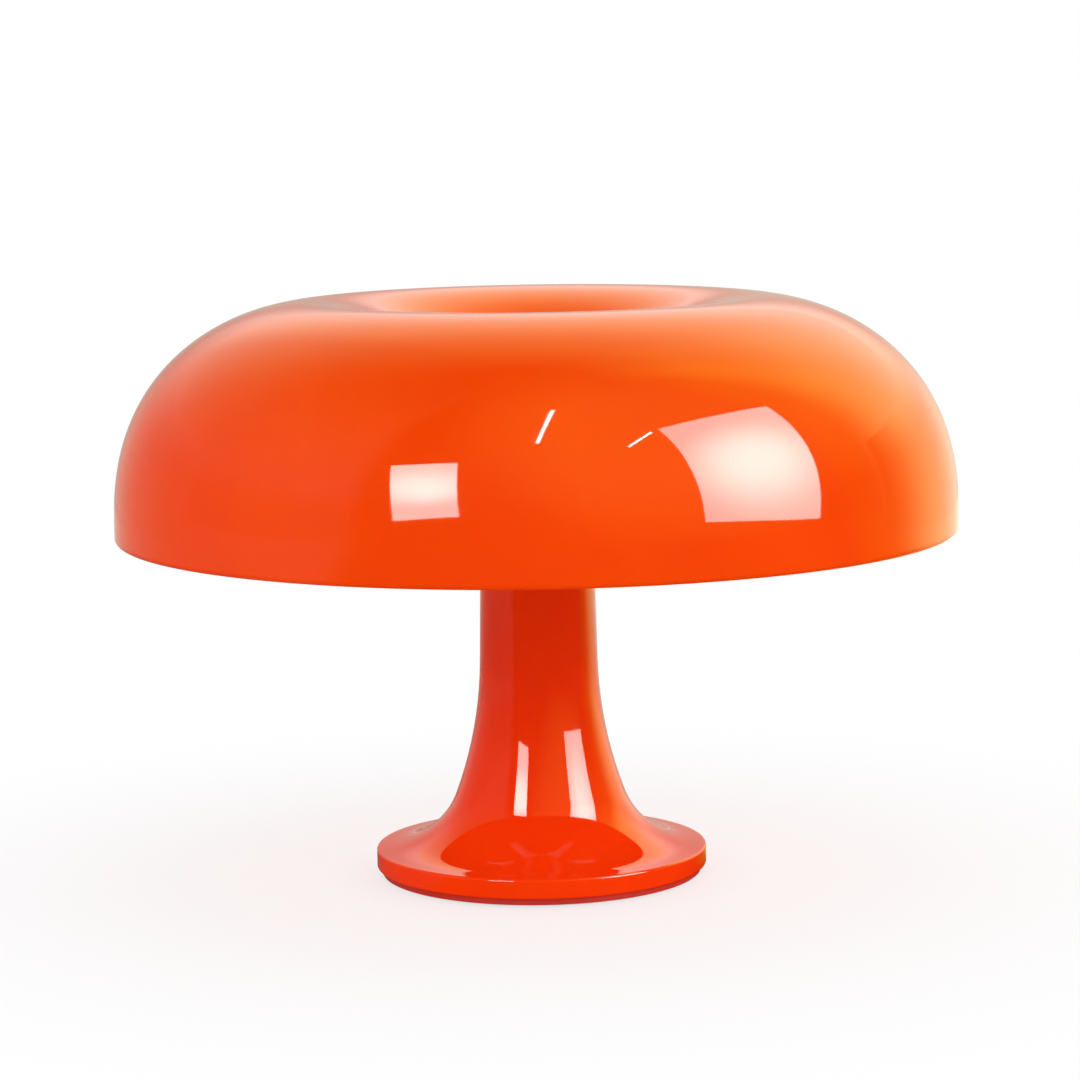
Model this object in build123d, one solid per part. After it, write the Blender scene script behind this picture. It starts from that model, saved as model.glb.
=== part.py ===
from build123d import *
import math
import os

# Mushroom table lamp: a ring-shaped shade with a funnel in its middle, on a trumpet-shaped stem.
# Millimetres, +Z up, origin at the centre of the standing surface.

# Shade, one hollow moulding
shade_radius = 160.0
shade_wall = 3.0
rim_height = 132.5
rim_outer_rounding = 2.0
rim_inner_rounding = 0.8
widest_height = 136.8
crest_height = 221.0
crest_radius = 84.6
dome_power_across = 1.89
dome_power_up = 2.41
throat_above_floor = 2.0
floor_thickness = 3.0
floor_rounding = 1.5
neck_wall = 2.6
skirt_depth = 4.0
outline_steps = 12

# Stem and base, one hollow moulding
neck_radius = 21.6
waist_radius = 23.1
waist_height = 55.8
waist_curve = 155.0
foot_radius = 39.4
foot_height = 12.8
foot_curve = 31.0
rim_radius = 63.4
base_top = 10.6
base_lower_edge = 3.2
base_edge_rounding = 0.9
base_lower_rounding = 0.8
stem_wall = 3.0

# Bottom cover and what it stands on
pad_proud = 0.6
pad_thickness = 1.0
pad_radius = 7.0
pad_circle = 50.0
pad_angles = (45, 135, 225, 315)
cover_radius = 61.4
cover_floor = 2.0
cover_lip_width = 1.4
spigot_width = 2.0
spigot_height = 3.4
cover_rounding = 0.5

# Counterweight
weight_gap = 0.4
weight_radius = 54.0
weight_thickness = 3.8
weight_hub_radius = 36.0
weight_hub_height = 9.2
clamp_rib_radius = 47.0
clamp_rib_width = 3.0

# Cover screws and their bosses
screw_angles = (30, 150, 270)
screw_circle = 50.0
screw_radius = 1.6
screw_length = 5.6
screw_head_radius = 3.2
screw_head_height = 2.0
screw_recess = 2.4
screw_boss_radius = 5.0
screw_boss_wall = 1.6

# Tie rod with its nuts and washers
rod_radius = 3.0
rod_bottom = 2.9
rod_in_knob = 9.8
nut_width = 10.0
nut_height = 5.0
washer_radius = 6.0
washer_thickness = 1.6
nut_recess_radius = 9.0
lower_recess_depth = 6.6

# Carrier, a drum in two halves that clamps the lampholders
drum_below_bulbs = 12.0
drum_above_bulbs = 16.0
carrier_wall = 2.6
carrier_plate = 3.0
carrier_opening = 13.0
carrier_spigot_length = 6.0
carrier_spigot_wall = 3.5
lamp_height = 146.0
lamp_angles = (45, 135, 225, 315)
holder_socket_start = 13.0
holder_socket_end = 27.0
holder_socket_wall = 2.4
cup_wall = 1.2
cup_floor = 1.5
cup_depth = 12.5
cup_flange_radius = 13.0
cup_flange = 1.2

# Lampholder and its contacts
holder_start = 12.0
holder_radius = 8.5
holder_flange_radius = 10.5
holder_flange = 2.5
holder_end_rounding = 0.6
pin_spacing = 9.0
pin_thickness = 0.8
pin_width = 2.6
pin_length = 9.5
slot_width = 1.9
slot_height = 3.4
slot_back_wall = 1.5
contact_thickness = 0.6
contact_width = 2.8
contact_length = 14.0

# Bulb
bulb_base_radius = 7.0
bulb_collar_radius = 8.3
bulb_base_length = 11.5
bulb_dome_radius = 8.0
bulb_dome_length = 32.0

# Leads and terminal block
lead_radius = 1.3
lead_circle = 8.0
lead_bend = 3.4
lead_low_bend = 12.0
lead_turn_height = 45.0
lead_port_clearance = 8.0
lead_ports = (3.0, -3.0, -9.0, 9.0)
block_length = 24.0
block_width = 12.0
block_height = 10.0
block_offset = 9.0
port_row = 3.0
block_screw_row = 9.0
block_screw_radius = 1.8
block_screw_height = 1.2
block_screw_slot = 0.6
mains_port_radius = 1.5
mains_port_depth = 4.0

# Cord inlet
inlet_height = 5.4
inlet_bore = 2.6
bush_radius = 3.5
bush_length = 6.0
bush_flange_radius = 4.2
bush_flange = 2.0
bush_rounding = 0.6
channel_width = 9.0
channel_start = 24.0

# Lock knob with its washer and threaded insert
knob_radius = 15.0
knob_height = 15.8
knob_top_rounding = 4.0
knob_flutes = 12
flute_radius = 3.0
flute_depth = 1.2
insert_radius = 5.0
insert_length = 10.8
fibre_radius = 12.0
fibre_thickness = 1.2

# Clearances
seat_clearance = 0.4
rod_hole_clearance = 0.4
thread_clearance = 0.06
fit_clearance = 0.1
screw_clearance = 0.05
hole_clearance = 0.3
overrun = 2.0

# Heights and radii that follow from the sizes above
stem_top = lamp_height - drum_below_bulbs
carrier_top = lamp_height + drum_above_bulbs
cup_bottom = carrier_top - cup_depth
cover_top = pad_proud + cover_floor
weight_bottom = cover_top + weight_gap
weight_top = weight_bottom + weight_thickness
hub_top = weight_top + weight_hub_height
screw_seat = pad_proud + screw_recess
screw_boss_top = screw_seat + screw_boss_wall
recess_top = weight_bottom + lower_recess_depth
floor_top = carrier_top + floor_thickness
throat_height = floor_top + throat_above_floor
skirt_radius = neck_radius + seat_clearance
insert_bottom = floor_top + fibre_thickness
rod_top = insert_bottom + rod_in_knob
socket_radius = holder_radius + fit_clearance
holder_end = holder_socket_end + holder_flange
cavity_radius = neck_radius - carrier_wall
block_bottom = hub_top
block_top = block_bottom + block_height


def at(angle, radius, height=0.0):
    """A point at an angle about the lamp's axis."""
    turn = math.radians(angle)
    return (radius * math.cos(turn), radius * math.sin(turn), height)


def post(radius, low, high, place=(0.0, 0.0, 0.0)):
    """An upright round bar between two heights."""
    column = Cylinder(radius, high - low, align=(Align.CENTER, Align.CENTER, Align.MIN))
    return Pos(place[0], place[1], low) * column


def ring(outer, inner, low, high):
    """An upright tube between two heights."""
    return post(outer, low, high) - post(inner, low - overrun, high + overrun)


def block(x, y, z):
    """A box between two values on each axis."""
    corner = (Align.MIN, Align.MIN, Align.MIN)
    return Pos(x[0], y[0], z[0]) * Box(x[1] - x[0], y[1] - y[0], z[1] - z[0], align=corner)


def spun(edges):
    """A solid turned about the lamp's axis from a closed outline of radius and height."""
    return revolve(make_face(edges), Axis.Z)


def upright(points):
    """Points of radius and height, placed in the XZ plane."""
    return [(radius, 0.0, height) for radius, height in points]


def radial_bar(radius, start, end):
    """A round bar that lies along a bulb's axis, between two distances from the lamp's axis."""
    bar = Cylinder(radius, end - start, align=(Align.CENTER, Align.CENTER, Align.MIN))
    return Pos(start, 0.0, lamp_height) * Rot(0, 90, 0) * bar


def radial_spun(outline):
    """A solid turned about a bulb's axis from distances along it and radii."""
    edge = Polyline([(along, 0.0, lamp_height + radius) for along, radius in outline], close=True)
    return revolve(make_face(edge), Axis((0.0, 0.0, lamp_height), (1.0, 0.0, 0.0)))


def around(piece):
    """The piece repeated at each bulb's angle."""
    return [Rot(0, 0, angle) * piece for angle in lamp_angles]


def rear_bar(radius, start, end):
    """A round bar along the cord inlet, between two distances from the lamp's axis."""
    bar = Cylinder(radius, end - start, align=(Align.CENTER, Align.CENTER, Align.MIN))
    return Pos(0.0, start, inlet_height) * Rot(-90, 0, 0) * bar


def cord_channel(low, high):
    """The straight way of the cord from the inlet towards the terminal block."""
    half = channel_width / 2
    return block((-half, half), (channel_start, rim_radius), (low, high))


def crown(width, rise, power_across, power_up, side, base_height, inset):
    """One side of the shade's crown, from its foot up to the crest, moved in by the wall."""
    points = []
    for step in range(outline_steps + 1):
        turn = math.pi / 2 * step / outline_steps
        across = max(math.cos(turn), 0.0) ** (2 / power_across)
        up = math.sin(turn) ** (2 / power_up)
        if step == outline_steps:
            across = 0.0
        slope_across = power_across / width * across ** (power_across - 1)
        slope_up = power_up / rise * up ** (power_up - 1)
        steepness = math.hypot(slope_across, slope_up)
        out = inset * slope_across / steepness
        drop = inset * slope_up / steepness
        radius = crest_radius + side * (width * across - out)
        points.append((radius, base_height + rise * up - drop))
    return points


def dome_outline(inset):
    """The outer side of the crown."""
    width = shade_radius - crest_radius
    rise = crest_height - widest_height
    return crown(width, rise, dome_power_across, dome_power_up, 1, widest_height, inset)


def funnel_outline(inset):
    """The inner side of the crown, a quarter of an ellipse down to the throat."""
    width = crest_radius - skirt_radius
    return crown(width, crest_height - throat_height, 2.0, 2.0, -1, throat_height, inset)


def side_spline(points, downwards=False):
    """A smooth line through the points of one side of the crown."""
    inward = 1.0 if points[0][0] > points[-1][0] else -1.0
    ends = [(0.0, 0.0, 1.0), (-inward, 0.0, 0.0)]
    if downwards:
        points = points[::-1]
        ends = [(inward, 0.0, 0.0), (0.0, 0.0, -1.0)]
    return Spline(upright(points), tangents=ends)


def make_shade():
    """Crown, near-vertical side, funnel, throat, floor and the skirt that finds the carrier."""
    skin = dome_outline(0.0)
    skin_funnel = funnel_outline(0.0)
    inside = dome_outline(shade_wall)
    inside_funnel = funnel_outline(neck_wall)
    hole = rod_radius + rod_hole_clearance
    skirt_bottom = carrier_top - skirt_depth
    skirt_outer = skirt_radius + neck_wall
    inner_crest = (crest_radius, crest_height - shade_wall)
    inside_funnel[-1] = inner_crest
    edges = [
        Polyline(upright([(shade_radius, rim_height), skin[0]])),
        side_spline(skin),
        side_spline(skin_funnel, downwards=True),
        Polyline(upright([skin_funnel[0], (skirt_radius, floor_top), (hole, floor_top),
                          (hole, carrier_top), (skirt_radius, carrier_top),
                          (skirt_radius, skirt_bottom), (skirt_outer, skirt_bottom),
                          inside_funnel[0]])),
        side_spline(inside_funnel),
        side_spline(inside, downwards=True),
        Polyline(upright([inside[0], (shade_radius - shade_wall, rim_height),
                          (shade_radius, rim_height)])),
    ]
    face = make_face(edges).face()
    roundings = [((shade_radius, 0, rim_height), rim_outer_rounding),
                 ((shade_radius - shade_wall, 0, rim_height), rim_inner_rounding),
                 ((skirt_radius, 0, floor_top), floor_rounding)]
    for place, rounding in roundings:
        corner = face.vertices().sort_by_distance(place)[0]
        face = face.fillet_2d(rounding, [corner])
    return revolve(face, Axis.Z)


def inset_corners(corners, depth):
    """The corners of an outline moved in by a depth, each at the crossing of its two moved lines."""
    lines = []
    for (r0, z0), (r1, z1) in zip(corners, corners[1:]):
        length = math.hypot(r1 - r0, z1 - z0)
        along = ((r1 - r0) / length, (z1 - z0) / length)
        start = (r0 + depth * along[1], z0 - depth * along[0])
        lines.append((start, along, length))
    moved = [lines[0][0]]
    for (first, along, _), (second, onward, _) in zip(lines, lines[1:]):
        cross = along[0] * onward[1] - along[1] * onward[0]
        gap = (second[0] - first[0], second[1] - first[1])
        reach = (gap[0] * onward[1] - gap[1] * onward[0]) / cross
        moved.append((first[0] + reach * along[0], first[1] + reach * along[1]))
    last, along, length = lines[-1]
    moved.append((last[0] + length * along[0], last[1] + length * along[1]))
    return moved


def flare(inset, top_rounding, extra):
    """The solid inside the stem and base outline, moved in by the inset and longer by the extra."""
    corners = [(neck_radius, stem_top), (waist_radius, waist_height), (foot_radius, foot_height),
               (rim_radius, base_top), (rim_radius, base_lower_edge)]
    corners = inset_corners(corners, inset)
    corners[0] = (corners[0][0], stem_top + extra)
    corners[-1] = (corners[-1][0], base_lower_edge - extra)
    bends = [waist_curve + inset, foot_curve + inset, top_rounding]
    outline = FilletPolyline(upright(corners), radius=bends)
    closing = upright([corners[-1], (0.0, corners[-1][1]), (0.0, corners[0][1]), corners[0]])
    return spun([outline, Polyline(closing)])


def make_stem_base():
    """Trumpet stem and base disc, with clamp rib, screw bosses and the cord notch."""
    cavity = flare(stem_wall, 0.0, overrun)
    shell = flare(0.0, base_edge_rounding, 0.0) - cavity
    lower_edge = shell.edges().filter_by(GeomType.CIRCLE).filter_by(
        lambda edge: abs(edge.radius - rim_radius) < fit_clearance).sort_by(Axis.Z)[0]
    shell = fillet(lower_edge, base_lower_rounding)
    rib = ring(clamp_rib_radius, clamp_rib_radius - clamp_rib_width, weight_top, stem_top)
    rib -= cord_channel(weight_top - overrun, stem_top + overrun)
    for angle in screw_angles:
        rib += post(screw_boss_radius, screw_boss_top, stem_top, at(angle, screw_circle))
    below_skin = flare(stem_wall / 2, 0.0, 0.0)
    shell += rib & below_skin
    for angle in screw_angles:
        pilot = screw_seat + screw_length + screw_clearance
        shell -= post(screw_radius + screw_clearance, 0.0, pilot, at(angle, screw_circle))
    shell -= rear_bar(bush_radius, rim_radius - bush_length, rim_radius + overrun)
    shell -= block((-bush_radius, bush_radius), (rim_radius - bush_length, rim_radius + overrun),
                   (0.0, inlet_height))
    return shell


def make_bottom_cover():
    """Round cover with a lip under the base, a spigot inside it, pad recesses and screw seats."""
    skirt_inner = rim_radius - stem_wall
    cover = post(cover_radius, pad_proud, cover_top)
    cover += ring(cover_radius, skirt_inner - cover_lip_width, pad_proud, base_lower_edge)
    bottom_edge = cover.edges().filter_by(GeomType.CIRCLE).sort_by(Axis.Z)[0]
    cover = fillet(bottom_edge, cover_rounding)
    spigot = skirt_inner - hole_clearance
    cover += ring(spigot, spigot - spigot_width, pad_proud + cover_rounding, cover_top + spigot_height)
    for angle in screw_angles:
        cover += post(screw_boss_radius, pad_proud, screw_boss_top, at(angle, screw_circle))
    for angle in screw_angles:
        spot = at(angle, screw_circle)
        cover -= post(screw_head_radius + hole_clearance, 0.0, screw_seat, spot)
        cover -= post(screw_radius + hole_clearance, 0.0, screw_boss_top + overrun, spot)
    for angle in pad_angles:
        cover -= post(pad_radius + fit_clearance, 0.0, pad_thickness, at(angle, pad_circle))
    inlet = (rim_radius - bush_length, rim_radius)
    cover -= rear_bar(bush_radius, *inlet)
    cover -= block((-bush_radius, bush_radius), inlet, (inlet_height, stem_top))
    return cover


def make_pads():
    """Four soft round pads, let into the cover."""
    return [post(pad_radius, 0.0, pad_thickness, at(angle, pad_circle)) for angle in pad_angles]


def make_counterweight():
    """Stepped steel disc with a nut recess, a cord channel and room for the screw bosses."""
    weight = post(weight_radius, weight_bottom, weight_top)
    weight += post(weight_hub_radius, weight_bottom, hub_top)
    weight -= post(rod_radius + hole_clearance, 0.0, hub_top + overrun)
    weight -= post(nut_recess_radius, 0.0, recess_top)
    for angle in screw_angles:
        room = screw_boss_radius + hole_clearance
        weight -= post(room, 0.0, hub_top + overrun, at(angle, screw_circle))
    return weight - cord_channel(0.0, hub_top + overrun)


def make_cover_screws():
    """Three pan-head screws with a cross slot."""
    screws = []
    for angle in screw_angles:
        spot = at(angle, screw_circle)
        screw = post(screw_radius, screw_seat, screw_seat + screw_length, spot)
        screw += post(screw_head_radius, screw_seat - screw_head_height, screw_seat, spot)
        bar = Box(screw_head_radius * 1.2, screw_radius / 2, screw_head_height)
        cross = bar + Rot(0, 0, 90) * bar
        screws.append(screw - Pos(spot[0], spot[1], screw_seat - screw_head_height) * cross)
    return screws


def make_nut(low):
    """Hexagon nut on the tie rod."""
    flats = RegularPolygon(nut_width / 2, 6, major_radius=False)
    return Pos(0, 0, low) * extrude(flats, nut_height) - post(rod_radius, 0.0, rod_top)


def make_carrier():
    """Whole drum before it is parted at the height of the bulbs."""
    drum = post(neck_radius, stem_top, carrier_top)
    drum -= post(cavity_radius, stem_top + carrier_plate, carrier_top - carrier_plate)
    drum -= post(carrier_opening, 0.0, stem_top + carrier_plate + overrun)
    stem_inner = neck_radius - stem_wall - hole_clearance
    drum += ring(stem_inner, stem_inner - carrier_spigot_wall,
                 stem_top - carrier_spigot_length, stem_top)
    socket = radial_bar(socket_radius + holder_socket_wall, holder_socket_start, holder_socket_end)
    for piece in around(socket):
        drum += piece
    cup_room = nut_recess_radius + cup_wall + fit_clearance
    drum -= post(cup_room, stem_top, carrier_top + overrun)
    flange_room = cup_flange_radius + fit_clearance
    drum -= post(flange_room, carrier_top - cup_flange, carrier_top + overrun)
    for bore in around(radial_bar(socket_radius, holder_start, holder_socket_end + overrun)):
        drum -= bore
    return drum


def make_nut_cup():
    """Flanged cup that holds the upper nut and hangs in the carrier's top plate."""
    cup = post(nut_recess_radius + cup_wall, cup_bottom, carrier_top)
    cup += post(cup_flange_radius, carrier_top - cup_flange, carrier_top)
    cup -= post(nut_recess_radius, cup_bottom + cup_floor, carrier_top + overrun)
    return cup - post(rod_radius + hole_clearance, 0.0, carrier_top + overrun)


def make_carrier_half(upper):
    """Half of the drum above or below the height of the bulbs."""
    size = 4 * neck_radius
    side = Align.MIN if upper else Align.MAX
    half = Pos(0, 0, lamp_height) * Box(size, size, size, align=(Align.CENTER, Align.CENTER, side))
    return make_carrier() & half


def pin_place(sign, inner, outer):
    """Across the bulb's axis, the span from inner to outer on one side."""
    return (inner, outer) if sign > 0 else (-outer, -inner)


def make_lampholder():
    """Round ceramic holder with a front flange and two deep slots for the bulb's pins."""
    holder = radial_bar(holder_radius, holder_start, holder_end)
    holder += radial_bar(holder_flange_radius, holder_socket_end, holder_end)
    front = holder.edges().filter_by(GeomType.CIRCLE).sort_by(Axis.X)[-1]
    holder = fillet(front, holder_end_rounding)
    slot_inner = (pin_spacing - pin_thickness) / 2 - hole_clearance
    for sign in (-1, 1):
        across = pin_place(sign, slot_inner, slot_inner + slot_width)
        high = (lamp_height - slot_height / 2, lamp_height + slot_height / 2)
        holder -= block((holder_start + slot_back_wall, holder_end + overrun), across, high)
    return holder


def make_contacts():
    """Two flat contact springs, one in each slot."""
    springs = []
    slot_inner = (pin_spacing - pin_thickness) / 2 - hole_clearance
    outer = slot_inner + slot_width
    for sign in (-1, 1):
        across = pin_place(sign, outer - contact_thickness, outer)
        high = (lamp_height - contact_width / 2, lamp_height + contact_width / 2)
        start = holder_start + slot_back_wall
        springs.append(block((start, start + contact_length), across, high))
    return springs


def make_bulb_pins():
    """The bulb's two flat pins."""
    pins = []
    for sign in (-1, 1):
        middle = sign * pin_spacing / 2
        across = (middle - pin_thickness / 2, middle + pin_thickness / 2)
        high = (lamp_height - pin_width / 2, lamp_height + pin_width / 2)
        pins.append(block((holder_end - pin_length, holder_end), across, high))
    return pins


def make_bulb_base():
    """Moulded base that widens from the holder to a collar round the dome."""
    end = holder_end + bulb_base_length
    collar = end - bulb_base_length / 4
    return radial_spun([(holder_end, 0.0), (holder_end, bulb_base_radius),
                        (collar, bulb_collar_radius), (end, bulb_collar_radius), (end, 0.0)])


def make_bulb_dome():
    """Opal cover, a round bar with a domed end."""
    start = holder_end + bulb_base_length
    bar = radial_bar(bulb_dome_radius, start, start + bulb_dome_length - bulb_dome_radius)
    end = Pos(start + bulb_dome_length - bulb_dome_radius, 0, lamp_height) * Sphere(bulb_dome_radius)
    return bar + end


def make_lead(angle, port):
    """Sleeved lead from a lampholder down the stem to a port of the terminal block."""
    port_y = block_offset + port_row
    route = [at(angle, holder_start, lamp_height), at(angle, lead_circle, lamp_height),
             at(angle, lead_circle, lead_turn_height),
             (port, port_y, block_top + lead_port_clearance), (port, port_y, block_top)]
    path = FilletPolyline(route, radius=[lead_bend, lead_low_bend, lead_low_bend])
    return sweep(Plane(origin=path @ 0, z_dir=path % 0) * Circle(lead_radius), path=path)


def make_terminal_block():
    """Insulated block with ports above for the leads and behind for the supply."""
    half = block_length / 2
    body = block((-half, half), (block_offset, block_offset + block_width), (block_bottom, block_top))
    body = fillet(body.edges().filter_by(Axis.Z), hole_clearance)
    for port in lead_ports:
        spot = (port, block_offset + block_screw_row)
        body -= post(block_screw_radius, block_top - block_screw_height, block_top + overrun, spot)
    rear = block_offset + block_width
    for side in (-1, 1):
        hole = Cylinder(mains_port_radius, 2 * mains_port_depth)
        body -= Pos(side * port_row, rear, block_bottom + block_height / 2) * Rot(90, 0, 0) * hole
    return body


def make_terminal_screws():
    """Slotted screws of the terminal block."""
    screws = []
    for port in lead_ports:
        spot = (port, block_offset + block_screw_row)
        screw = post(block_screw_radius, block_top - block_screw_height, block_top, spot)
        slot = Box(2 * block_screw_radius, block_screw_slot, block_screw_slot)
        screws.append(screw - Pos(spot[0], spot[1], block_top) * slot)
    return screws


def make_cord_bush():
    """Soft bush for the cord at the back of the base."""
    bush = rear_bar(bush_radius, rim_radius - bush_length, rim_radius)
    bush += rear_bar(bush_flange_radius, rim_radius, rim_radius + bush_flange)
    rear_edge = bush.edges().filter_by(GeomType.CIRCLE).sort_by(Axis.Y)[-1]
    bush = fillet(rear_edge, bush_rounding)
    return bush - rear_bar(inlet_bore, 0.0, rim_radius + bush_flange + overrun)


def make_lock_knob():
    """Fluted round knob with a pocket for its threaded insert."""
    top = insert_bottom + knob_height
    outline = upright([(0.0, insert_bottom), (knob_radius, insert_bottom), (knob_radius, top), (0.0, top)])
    edge = FilletPolyline(outline, radius=[0.0, knob_top_rounding])
    knob = spun([edge, Polyline([outline[-1], outline[0]])])
    for flute in range(knob_flutes):
        spot = at(360 * flute / knob_flutes, knob_radius + flute_radius - flute_depth)
        knob -= post(flute_radius, insert_bottom - overrun, top + overrun, spot)
    return knob - post(insert_radius, insert_bottom - overrun, insert_bottom + insert_length)


def save(name, piece):
    """Writes one piece, or a group of like pieces, under its name."""
    whole = Compound(children=piece) if isinstance(piece, list) else piece
    export_step(whole, f"parts/{name}.step")


os.makedirs("parts", exist_ok=True)
save("shade", make_shade())
save("stem_base", make_stem_base())
save("bottom_cover", make_bottom_cover())
save("pads", make_pads())
save("counterweight", make_counterweight())
save("cover_screws", make_cover_screws())
save("tie_rod", post(rod_radius, rod_bottom, rod_top))
lower_washer = recess_top - washer_thickness
save("lower_washer", ring(washer_radius, rod_radius, lower_washer, recess_top))
save("lower_nut", make_nut(lower_washer - nut_height))
upper_washer = cup_bottom + cup_floor
save("upper_washer", ring(washer_radius, rod_radius, upper_washer, upper_washer + washer_thickness))
save("upper_nut", make_nut(upper_washer + washer_thickness))
save("carrier_lower", make_carrier_half(False))
save("carrier_upper", make_carrier_half(True))
save("nut_cup", make_nut_cup())
save("terminal_block", make_terminal_block())
save("terminal_screws", make_terminal_screws())
save("cord_bush", make_cord_bush())
save("fibre_washer", ring(fibre_radius, rod_radius + rod_hole_clearance, floor_top, insert_bottom))
save("lock_knob", make_lock_knob())
insert_top = insert_bottom + insert_length
save("knob_insert", ring(insert_radius, rod_radius + thread_clearance, insert_bottom, insert_top))
for number, angle in enumerate(lamp_angles, start=1):
    turn = Rot(0, 0, angle)
    save(f"lampholder_{number}", turn * make_lampholder())
    save(f"contacts_{number}", [turn * spring for spring in make_contacts()])
    save(f"lead_{number}", make_lead(angle, lead_ports[number - 1]))
    save(f"bulb_{number}_pins", [turn * pin for pin in make_bulb_pins()])
    save(f"bulb_{number}_base", turn * make_bulb_base())
    save(f"bulb_{number}_dome", turn * make_bulb_dome())
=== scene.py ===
import bpy
import math
from mathutils import Matrix, Vector


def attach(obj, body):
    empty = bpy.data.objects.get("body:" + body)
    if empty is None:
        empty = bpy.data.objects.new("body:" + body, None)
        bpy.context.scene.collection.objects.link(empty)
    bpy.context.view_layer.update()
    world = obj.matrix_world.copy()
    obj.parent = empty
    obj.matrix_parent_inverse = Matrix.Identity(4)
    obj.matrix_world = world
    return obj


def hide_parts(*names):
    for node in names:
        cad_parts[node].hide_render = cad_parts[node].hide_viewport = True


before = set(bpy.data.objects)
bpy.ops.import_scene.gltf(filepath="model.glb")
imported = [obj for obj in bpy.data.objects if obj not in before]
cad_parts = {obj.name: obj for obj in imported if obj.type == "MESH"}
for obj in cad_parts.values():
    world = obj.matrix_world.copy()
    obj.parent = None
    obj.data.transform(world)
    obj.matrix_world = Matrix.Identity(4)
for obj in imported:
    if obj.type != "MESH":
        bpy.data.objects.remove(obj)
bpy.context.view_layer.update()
scene = bpy.context.scene

# Pads: four soft round feet let into the bottom cover, on a 100 mm circle.
# Moulded thermoplastic rubber, matt, glued into shallow recesses.
# Each foot is cut from a moulded mat, so its face is faintly pebbled.

mm = 0.001


def linear(code):
    """An sRGB hex colour as the linear colour that a shader takes."""
    parts = [int(code[place:place + 2], 16) / 255 for place in (1, 3, 5)]
    return [p / 12.92 if p <= 0.04045 else ((p + 0.055) / 1.055) ** 2.4 for p in parts] + [1.0]


def add(tree, kind, settings=None, values=None, links=None):
    """One node with its settings, its socket values and what feeds its sockets."""
    node = tree.nodes.new("ShaderNode" + kind)
    for name, value in (settings or {}).items():
        setattr(node, name, value)
    for name, value in (values or {}).items():
        node.inputs[name].default_value = value
    for name, source in (links or {}).items():
        tree.links.new(source, node.inputs[name])
    return node


def fresh(name):
    """A new material: itself, its node tree, its shader and the place on the piece."""
    material = bpy.data.materials.new(name)
    material.use_nodes = True
    tree = material.node_tree
    tree.nodes.clear()
    shader = add(tree, "BsdfPrincipled")
    out = add(tree, "OutputMaterial", links={"Surface": shader.outputs["BSDF"]})
    out.is_active_output = True
    return material, tree, shader, add(tree, "TexCoord").outputs["Object"]


def finish_node(node, material):
    """Puts a finish on a CAD piece that keeps its own shape."""
    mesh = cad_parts[node].data
    mesh.materials.clear()
    mesh.materials.append(material)


# Thermoplastic rubber, moulded: a dull dark face with pebbles of 0.8 mm and a slightly paler bloom.
pad_rubber, tree, shader, place = fresh("thermoplastic_rubber_moulded")
pebbles = add(tree, "TexVoronoi", values={"Scale": 1 / (0.8 * mm)}, links={"Vector": place})
bloom = add(tree, "TexNoise", values={"Scale": 1 / (6 * mm), "Detail": 3.0}, links={"Vector": place})
tint = add(tree, "ValToRGB", links={"Fac": bloom.outputs["Fac"]})
tint.color_ramp.elements[0].position = 0.35
tint.color_ramp.elements[0].color = linear("#26211F")
tint.color_ramp.elements[1].position = 0.7
tint.color_ramp.elements[1].color = linear("#352E2B")
relief = add(tree, "Bump", values={"Strength": 0.4, "Distance": 0.1 * mm},
             links={"Height": pebbles.outputs["Distance"]})
tree.links.new(tint.outputs["Color"], shader.inputs["Base Color"])
tree.links.new(relief.outputs["Normal"], shader.inputs["Normal"])
shader.inputs["Roughness"].default_value = 0.75
shader.inputs["IOR"].default_value = 1.5
finish_node("pads", pad_rubber)

# Bottom cover: the round plate that closes the base, seen as the dark red band under its edge.
# ABS, injection-moulded, with a spark-eroded grain on its underside, held by three screws.

# ABS, moulded with a spark-eroded grain: satin, with a fine even grain of 0.5 mm. Its red-orange is darker
# than the base's, partly as its own tone and partly as painted shade: the shadow under the base's edge.
cover_abs_shadow_darkened, tree, shader, place = fresh("abs_moulded_satin_grain_shadow_darkened")
grain = add(tree, "TexNoise", values={"Scale": 1 / (0.5 * mm), "Detail": 2.0, "Roughness": 0.6},
            links={"Vector": place})
flow = add(tree, "TexNoise", values={"Scale": 1 / (40 * mm), "Detail": 2.0}, links={"Vector": place})
# Both tints hold painted shade: the cover is darkened for the shadow under the base's edge.
tint = add(tree, "ValToRGB", links={"Fac": flow.outputs["Fac"]})
tint.color_ramp.elements[0].position = 0.3
tint.color_ramp.elements[0].color = linear("#C42206")
tint.color_ramp.elements[1].position = 0.75
tint.color_ramp.elements[1].color = linear("#CC2708")
rub = add(tree, "MapRange", values={"To Min": 0.3, "To Max": 0.42}, links={"Value": grain.outputs["Fac"]})
relief = add(tree, "Bump", values={"Strength": 0.25, "Distance": 0.05 * mm},
             links={"Height": grain.outputs["Fac"]})
tree.links.new(tint.outputs["Color"], shader.inputs["Base Color"])
tree.links.new(rub.outputs["Result"], shader.inputs["Roughness"])
tree.links.new(relief.outputs["Normal"], shader.inputs["Normal"])
shader.inputs["IOR"].default_value = 1.53
finish_node("bottom_cover", cover_abs_shadow_darkened)

# Cover screws, tie rod, nuts and washers: M3 and M6 hardware of steel, zinc plated and clear passivated.
# The rod clamps base, stem and carrier together, and stands up through the shade for the lock knob.

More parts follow.
